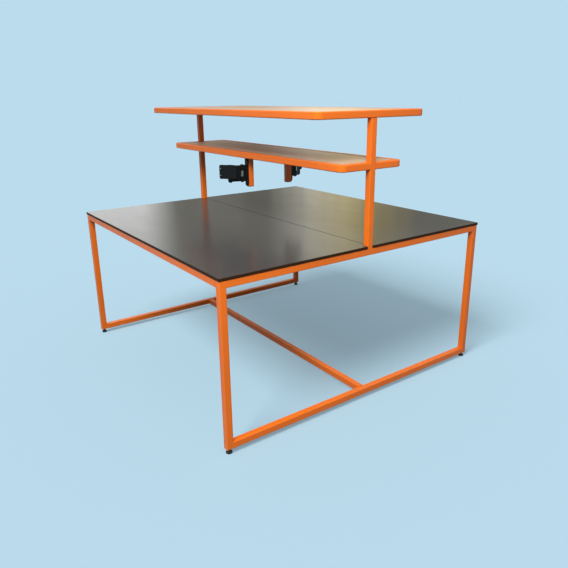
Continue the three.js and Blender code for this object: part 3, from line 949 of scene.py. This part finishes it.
# Bearings are in degrees, seen from the camera, from -X towards +Y.
WALL_BEARING = 30.0
WALL_DISTANCE = 7.4
WALL_HALF_WIDTH = 7.0
WALL_HALF_HEIGHT = 2.6
WALL_TINT = (1.0, 0.99, 0.82)

# Windows that the boards reflect: name, first and last bearing, fade in degrees at each side,
# share of the glow, tint
WINDOWS = (
    ("left_window", 5.2, 22.7, 0.0, 1.3, 1.54, (0.97, 0.98, 1.0)),
    ("faint_window", 27.4, 30.4, 0.8, 0.8, 0.3, (1.0, 0.98, 0.96)),
    ("middle_window", 36.4, 40.6, 2.2, 3.0, 0.96, (1.0, 0.97, 0.84)),
    ("yellow_window", 40.0, 45.0, 2.4, 3.6, 0.84, (1.0, 0.76, 0.14)),
)
WINDOW_DISTANCE = 6.6
WINDOW_MIDDLE = 1.9
WINDOW_HEIGHT = 2.8
# Shares of the fades by which each layer is narrower or wider
WINDOW_LAYERS = (-1, -0.5, 0, 0.5, 1)

# The camera solved from the photograph, whose focal length and centre of view are in pixels
PHOTO_SIDE = 568
FOCAL_LENGTH = 555.372
VIEW_CENTRE = (287.5, 274.715)
CAMERA_PLACE = (2.454757, -1.652449, 1.369143)
CAMERA_TURN = 54.308
CAMERA_TILT = 17.878
CAMERA_LEAN = -0.619
SENSOR_WIDTH = 36.0
VIEW_REACH = 200.0


def seen_directly(tree):
    """One where the camera, a gloss or a clear body looks, nought for bounced light."""
    path = add_node(tree, "ShaderNodeLightPath")
    seen = path.outputs["Is Camera Ray"]
    for ray in ("Is Glossy Ray", "Is Transmission Ray"):
        either = add_node(tree, "ShaderNodeMath", operation="MAXIMUM")
        tree.links.new(seen, either.inputs[0])
        tree.links.new(path.outputs[ray], either.inputs[1])
        seen = either.outputs[0]
    return seen


def make_sheet(context, name, corners, material):
    """A flat sheet between four corners."""
    mesh = bpy.data.meshes.new(name)
    mesh.from_pydata(corners, [], [(0, 1, 2, 3)])
    mesh.materials.append(material)
    sheet = bpy.data.objects.new(name, mesh)
    context.scene.collection.objects.link(sheet)
    return sheet


def make_floor(context, look):
    """A floor that looks blue in full light, and bounces dark grey light on the desk."""
    material, tree, shader, place = start_material("floor_paper", **MATT)
    sunlit = look.sun_level * -look.sun_towards[2] / Vector(look.sun_towards).length
    level = [look.sky_level * sky + sunlit * sun for sky, sun in zip(look.sky, look.sun)]
    share = 1.0 - look.floor_glow
    lit = tuple(share * colour / light for colour, light in zip(look.backdrop, level))
    grain = remap(tree, noise(tree, place, scale=40.0, detail=3.0))
    paper = blend(tree, grain, shade(lit, 0.996), shade(lit, 1.004))
    seen = seen_directly(tree)
    tree.links.new(blend(tree, seen, tuple(look.bounce), paper), shader.inputs["Base Color"])
    shader.inputs["Emission Color"].default_value = (*look.backdrop, 1.0)
    glow = remap(tree, seen, 0.0, look.floor_glow, low=0.0, high=1.0)
    tree.links.new(glow, shader.inputs["Emission Strength"])
    signs = ((-1, -1), (1, -1), (1, 1), (-1, 1))
    corners = [(x * FLOOR_REACH, y * FLOOR_REACH, 0) for x, y in signs]
    floor = make_sheet(context, "floor", corners, material)
    floor.location.z = -FLOOR_DROP
    return floor


def make_world(context, look):
    """Soft even light all round, with the backdrop's blue where one looks past the floor."""
    world = bpy.data.worlds.new("studio")
    world.use_nodes = True
    tree = world.node_tree
    sky = tree.nodes["Background"]
    sky.inputs["Color"].default_value = (*look.sky, 1.0)
    sky.inputs["Strength"].default_value = look.sky_level
    backdrop = add_node(tree, "ShaderNodeBackground")
    backdrop.inputs["Color"].default_value = (*look.backdrop, 1.0)
    mix = add_node(tree, "ShaderNodeMixShader")
    link = tree.links.new
    link(seen_directly(tree), mix.inputs["Fac"])
    link(sky.outputs[0], mix.inputs[1])
    link(backdrop.outputs[0], mix.inputs[2])
    link(mix.outputs[0], tree.nodes["World Output"].inputs["Surface"])
    context.scene.world = world


def place_light(context, lamp, towards):
    """Puts a lamp in the scene, turned so that it shines one way."""
    light = bpy.data.objects.new(lamp.name, lamp)
    light.rotation_mode = "QUATERNION"
    light.rotation_quaternion = Vector(towards).to_track_quat("-Z", "Y")
    context.scene.collection.objects.link(light)
    return light


def make_sun(context, name, level, towards, spread, tint):
    """A lamp so far off that its level is the same all over."""
    lamp = bpy.data.lights.new(name, "SUN")
    lamp.energy = level * math.pi
    lamp.angle = spread
    lamp.color = tint
    return place_light(context, lamp, towards)


def make_lamp(context, look):
    """The ceiling lamp above the camera, whose light falls off over the depth of the desk."""
    lamp = bpy.data.lights.new("ceiling_lamp", "AREA")
    lamp.size = look.lamp_size
    lamp.energy = look.lamp_level * math.pi**2
    lamp.color = look.sun
    light = place_light(context, lamp, -Vector(look.lamp_place))
    light.location = look.lamp_place
    return light


def link_light(lamp, floor, state):
    """Lets a lamp light the floor alone, or all but the floor."""
    receivers = bpy.data.collections.new(lamp.name + "_receivers")
    receivers.objects.link(floor)
    receivers.collection_objects[0].light_linking.link_state = state
    lamp.light_linking.receiver_collection = receivers


def only_in_gloss(thing):
    """Leaves an object to be seen in reflections alone, so that it lights and shades nothing."""
    thing.visible_camera = False
    thing.visible_diffuse = False
    thing.visible_transmission = False
    thing.visible_shadow = False


def beyond_desk(camera, bearing, distance, height):
    """A place seen past the desk, at a bearing from the camera, and the way back to the camera."""
    angle = math.radians(bearing)
    away = Vector((-math.cos(angle), math.sin(angle), 0.0))
    eye = Vector((camera.location.x, camera.location.y, height))
    return eye + away * distance, -away


def make_room(context, camera, glow):
    """A dim wall beyond the desk, which the glossy boards reflect in place of the backdrop."""
    material, tree, shader, place = start_material("room_wall", **MATT)
    shader.inputs["Base Color"].default_value = (0.0, 0.0, 0.0, 1.0)
    shader.inputs["Emission Color"].default_value = (*WALL_TINT, 1.0)
    dapple = remap(tree, noise(tree, place, scale=0.5), glow * 0.9, glow * 1.1)
    tree.links.new(dapple, shader.inputs["Emission Strength"])
    centre, facing = beyond_desk(camera, WALL_BEARING, WALL_DISTANCE, WALL_HALF_HEIGHT)
    along = facing.cross(Vector((0, 0, 1))) * WALL_HALF_WIDTH
    rise = Vector((0, 0, WALL_HALF_HEIGHT))
    low, high = centre - rise, centre + rise
    corners = [low - along, low + along, high + along, high - along]
    wall = make_sheet(context, "room_wall", corners, material)
    only_in_gloss(wall)


def make_window(context, camera, glow, name, first, last, first_fade, last_fade, share, tint):
    """A tall window before the dim wall, whose layers fade out to its sides."""
    for layer in WINDOW_LAYERS:
        low = first + layer * first_fade
        high = last - layer * last_fade
        lamp = bpy.data.lights.new(name, "AREA")
        lamp.shape = "RECTANGLE"
        lamp.size = 2 * WINDOW_DISTANCE * math.tan(math.radians(high - low) / 2)
        lamp.size_y = WINDOW_HEIGHT
        lamp.energy = glow * share / len(WINDOW_LAYERS) * math.pi * lamp.size * lamp.size_y
        lamp.color = tint
        centre, facing = beyond_desk(camera, (low + high) / 2, WINDOW_DISTANCE, WINDOW_MIDDLE)
        window = place_light(context, lamp, facing)
        window.location = centre
        only_in_gloss(window)


def make_camera(context):
    """The camera of the photograph: place, turn, tilt, lean, lens and centre of view."""
    lens = bpy.data.cameras.new("camera")
    lens.sensor_width = SENSOR_WIDTH
    lens.lens = FOCAL_LENGTH / PHOTO_SIDE * SENSOR_WIDTH
    lens.shift_x = (PHOTO_SIDE / 2 - VIEW_CENTRE[0]) / PHOTO_SIDE
    lens.shift_y = (VIEW_CENTRE[1] - PHOTO_SIDE / 2) / PHOTO_SIDE
    lens.clip_end = VIEW_REACH
    camera = bpy.data.objects.new("camera", lens)
    turn, tilt, lean = (math.radians(angle) for angle in (CAMERA_TURN, CAMERA_TILT, CAMERA_LEAN))
    ahead = math.cos(tilt)
    back = Vector((math.sin(turn) * ahead, -math.cos(turn) * ahead, math.sin(tilt)))
    level = (-back).cross(Vector((0, 0, 1))).normalized()
    up = level.cross(-back)
    right = math.cos(lean) * level + math.sin(lean) * up
    top = math.cos(lean) * up - math.sin(lean) * level
    axes = Matrix((right, top, back)).transposed()
    camera.matrix_world = Matrix.Translation(CAMERA_PLACE) @ axes.to_4x4()
    context.scene.collection.objects.link(camera)
    context.scene.camera = camera
    return camera


# Operators


class DESK_OT_frame_tubes(bpy.types.Operator):
    """Dress the legs, rails, posts, seam beam and floor stretcher"""

    bl_idname = "desk.frame_tubes"
    bl_label = "Frame tubes"

    def execute(self, context):
        nodes = ["seam_beam", "floor_stretcher"]
        nodes += [f"side_rail_{side}" for side in SIDES]
        for end in ENDS:
            nodes += [f"leg_{end}_{side}" for side in SIDES]
            nodes += [f"end_rail_{end}", f"floor_rail_{end}", f"post_{end}"]
        dress_tubes(context, nodes)
        return {"FINISHED"}


class DESK_OT_shelf_rings(bpy.types.Operator):
    """Dress the bent shelf rings, their cross bars and the drop posts"""

    bl_idname = "desk.shelf_rings"
    bl_label = "Shelf rings and drop posts"

    def execute(self, context):
        nodes = [f"{shelf}_ring_{side}" for shelf in SHELVES for side in SIDES]
        nodes += [f"{shelf}_bar_{bar}" for shelf in SHELVES for bar in BARS]
        nodes += [f"drop_post_{side}" for side in SIDES]
        dress_tubes(context, nodes)
        return {"FINISHED"}


class DESK_OT_boards(bpy.types.Operator):
    """Dress the desktops and the shelf boards"""

    bl_idname = "desk.boards"
    bl_label = "Desktops and shelf boards"

    def execute(self, context):
        desktops = [f"desktop_{side}" for side in SIDES]
        shelves = [f"{shelf}_shelf_board" for shelf in SHELVES]
        dress(context, desktops, "desktop_board")
        dress(context, shelves, "shelf_board")
        for node in desktops + shelves:
            face_edges(context, bpy.data.objects[node + "_piece"])
        return {"FINISHED"}


class DESK_OT_brackets(bpy.types.Operator):
    """Dress the monitor brackets and their pins"""

    bl_idname = "desk.brackets"
    bl_label = "Monitor brackets"

    def execute(self, context):
        coated = ("wall_bracket", "link", "swivel_head", "monitor_plate")
        pins = ("swivel_pin", "head_pin", "tilt_axle")
        for side, out in OUTWARD.items():
            dress(context, [f"{part}_{side}" for part in coated], "black_powder_coat")
            dress(context, [f"{part}_{side}" for part in pins], "blackened_steel")
            dress(context, [f"brake_block_{side}"], "zinc_steel")
            coat_far_side(context, bpy.data.objects[f"brake_block_{side}_piece"], out)
        return {"FINISHED"}


class DESK_OT_feet(bpy.types.Operator):
    """Make the levelling feet with ribbed rims, hexagon necks and threaded stems"""

    bl_idname = "desk.feet"
    bl_label = "Levelling feet and plugs"

    def execute(self, context):
        sizes = context.scene.desk_sizes
        for end in ENDS:
            for side in SIDES:
                corner = f"{end}_{side}"
                low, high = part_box(f"foot_{corner}")
                middle = (low + high) / 2
                rim = (high.x - low.x) / 2
                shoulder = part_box(f"foot_insert_{corner}")[0].z - INSERT_GAP
                mesh = foot_mesh(rim, shoulder, high.z, sizes)
                mesh.transform(Matrix.Translation((middle.x, middle.y, low.z)))
                body = f"foot_{corner}_body"
                piece = link_piece(f"foot_{corner}_piece", mesh, "black_plastic", body, context)
                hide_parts(f"foot_{corner}")
                dress(context, [f"foot_insert_{corner}"], "black_plastic", INSERT_EASE)
        dress(context, [f"drop_plug_{side}" for side in SIDES], "black_plastic")
        return {"FINISHED"}


class DESK_OT_fasteners(bpy.types.Operator):
    """Set the wall bolts of the brackets and the screws under the desktops and the shelf boards"""

    bl_idname = "desk.fasteners"
    bl_label = "Bolts and screws"

    def execute(self, context):
        sizes = context.scene.desk_sizes
        tree = screw_tree()
        bolt = socket_screw(
            "wall_bolt_shape",
            head=sizes.bolt_head,
            height=sizes.bolt_rise,
            socket=0.0021,
            shank=0.003,
            length=0.016,
        )
        seed = point_seed("wall_bolt_seed", wall_bolt_places(sizes))
        piece = grow(context, "wall_bolts", seed, tree, {"Screw": bolt}, "blackened_steel", BASE)
        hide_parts(*[f"wall_bolt_{side}_{number}" for side in SIDES for number in BOLTS])
        drop_template(bolt)
        screw = socket_screw(
            "board_screw_shape",
            head=sizes.screw_head,
            height=0.0024,
            socket=0.0018,
            shank=0.0024,
            length=0.008,
        )
        seed = point_seed("board_screw_seed", shelf_screw_places() + tab_screw_places(sizes))
        grow(context, "board_screws", seed, tree, {"Screw": screw}, "zinc_steel", BASE)
        drop_template(screw)
        return {"FINISHED"}


class DESK_OT_welds(bpy.types.Operator):
    """Run weld beads along the inner corners of the frame and the shelf rings"""

    bl_idname = "desk.welds"
    bl_label = "Weld beads"

    def execute(self, context):
        sizes = context.scene.desk_sizes
        runs = weld_runs()
        points = [place for run in runs for place in run]
        edges = [(2 * index, 2 * index + 1) for index in range(len(runs))]
        seed = bpy.data.meshes.new("weld_seed")
        seed.from_pydata(points, edges, [])
        values = {"Bead radius": sizes.weld_radius, "Pitch": sizes.weld_pitch}
        grow(context, "weld_beads", seed, weld_tree(), values, "orange_powder_coat", BASE)
        return {"FINISHED"}


class DESK_OT_stage(bpy.types.Operator):
    """Make the floor, the light and the camera of the photograph"""

    bl_idname = "desk.stage"
    bl_label = "Stage"

    def execute(self, context):
        look = context.scene.desk_stage
        floor = make_floor(context, look)
        make_world(context, look)
        main_light = (look.sun_towards, look.sun_spread, look.sun)
        floor_sun = make_sun(context, "floor_sun", look.sun_level, *main_light)
        desk_sun = make_sun(context, "desk_sun", look.desk_sun_level, *main_light)
        fill_light = (look.fill_towards, look.fill_spread, look.sun)
        fill = make_sun(context, "fill", look.fill_level, *fill_light)
        lamp = make_lamp(context, look)
        link_light(floor_sun, floor, "INCLUDE")
        for light in (desk_sun, fill, lamp):
            link_light(light, floor, "EXCLUDE")
        for light in (fill, lamp):
            light.visible_glossy = False
        camera = make_camera(context)
        make_room(context, camera, look.room_glow)
        for window in WINDOWS:
            make_window(context, camera, look.window_glow, *window)
        context.scene.view_settings.view_transform = "Standard"
        return {"FINISHED"}


OPERATORS = (
    DESK_OT_frame_tubes,
    DESK_OT_shelf_rings,
    DESK_OT_boards,
    DESK_OT_brackets,
    DESK_OT_feet,
    DESK_OT_fasteners,
    DESK_OT_welds,
    DESK_OT_stage,
)


class DESK_PT_sidebar(bpy.types.Panel):
    """The desk's operators and settings"""

    bl_idname = "DESK_PT_sidebar"
    bl_label = "Benching desk"
    bl_space_type = "VIEW_3D"
    bl_region_type = "UI"
    bl_category = "Benching desk"

    def draw(self, context):
        layout = self.layout
        for operator in OPERATORS:
            layout.operator(operator.bl_idname)
        scene = context.scene
        for settings in (scene.desk_finishes, scene.desk_sizes, scene.desk_stage):
            for name in settings.__annotations__:
                layout.prop(settings, name)


CLASSES = (DeskFinishes, DeskSizes, DeskStage, *OPERATORS, DESK_PT_sidebar)


def register():
    for cls in CLASSES:
        bpy.utils.register_class(cls)
    bpy.types.Scene.desk_finishes = PointerProperty(type=DeskFinishes)
    bpy.types.Scene.desk_sizes = PointerProperty(type=DeskSizes)
    bpy.types.Scene.desk_stage = PointerProperty(type=DeskStage)


def unregister():
    del bpy.types.Scene.desk_stage
    del bpy.types.Scene.desk_sizes
    del bpy.types.Scene.desk_finishes
    for cls in reversed(CLASSES):
        bpy.utils.unregister_class(cls)


def main():
    register()
    bpy.ops.desk.frame_tubes()
    bpy.ops.desk.shelf_rings()
    bpy.ops.desk.boards()
    bpy.ops.desk.brackets()
    bpy.ops.desk.feet()
    bpy.ops.desk.fasteners()
    bpy.ops.desk.welds()
    bpy.ops.desk.stage()


if __name__ == "__main__":
    main()
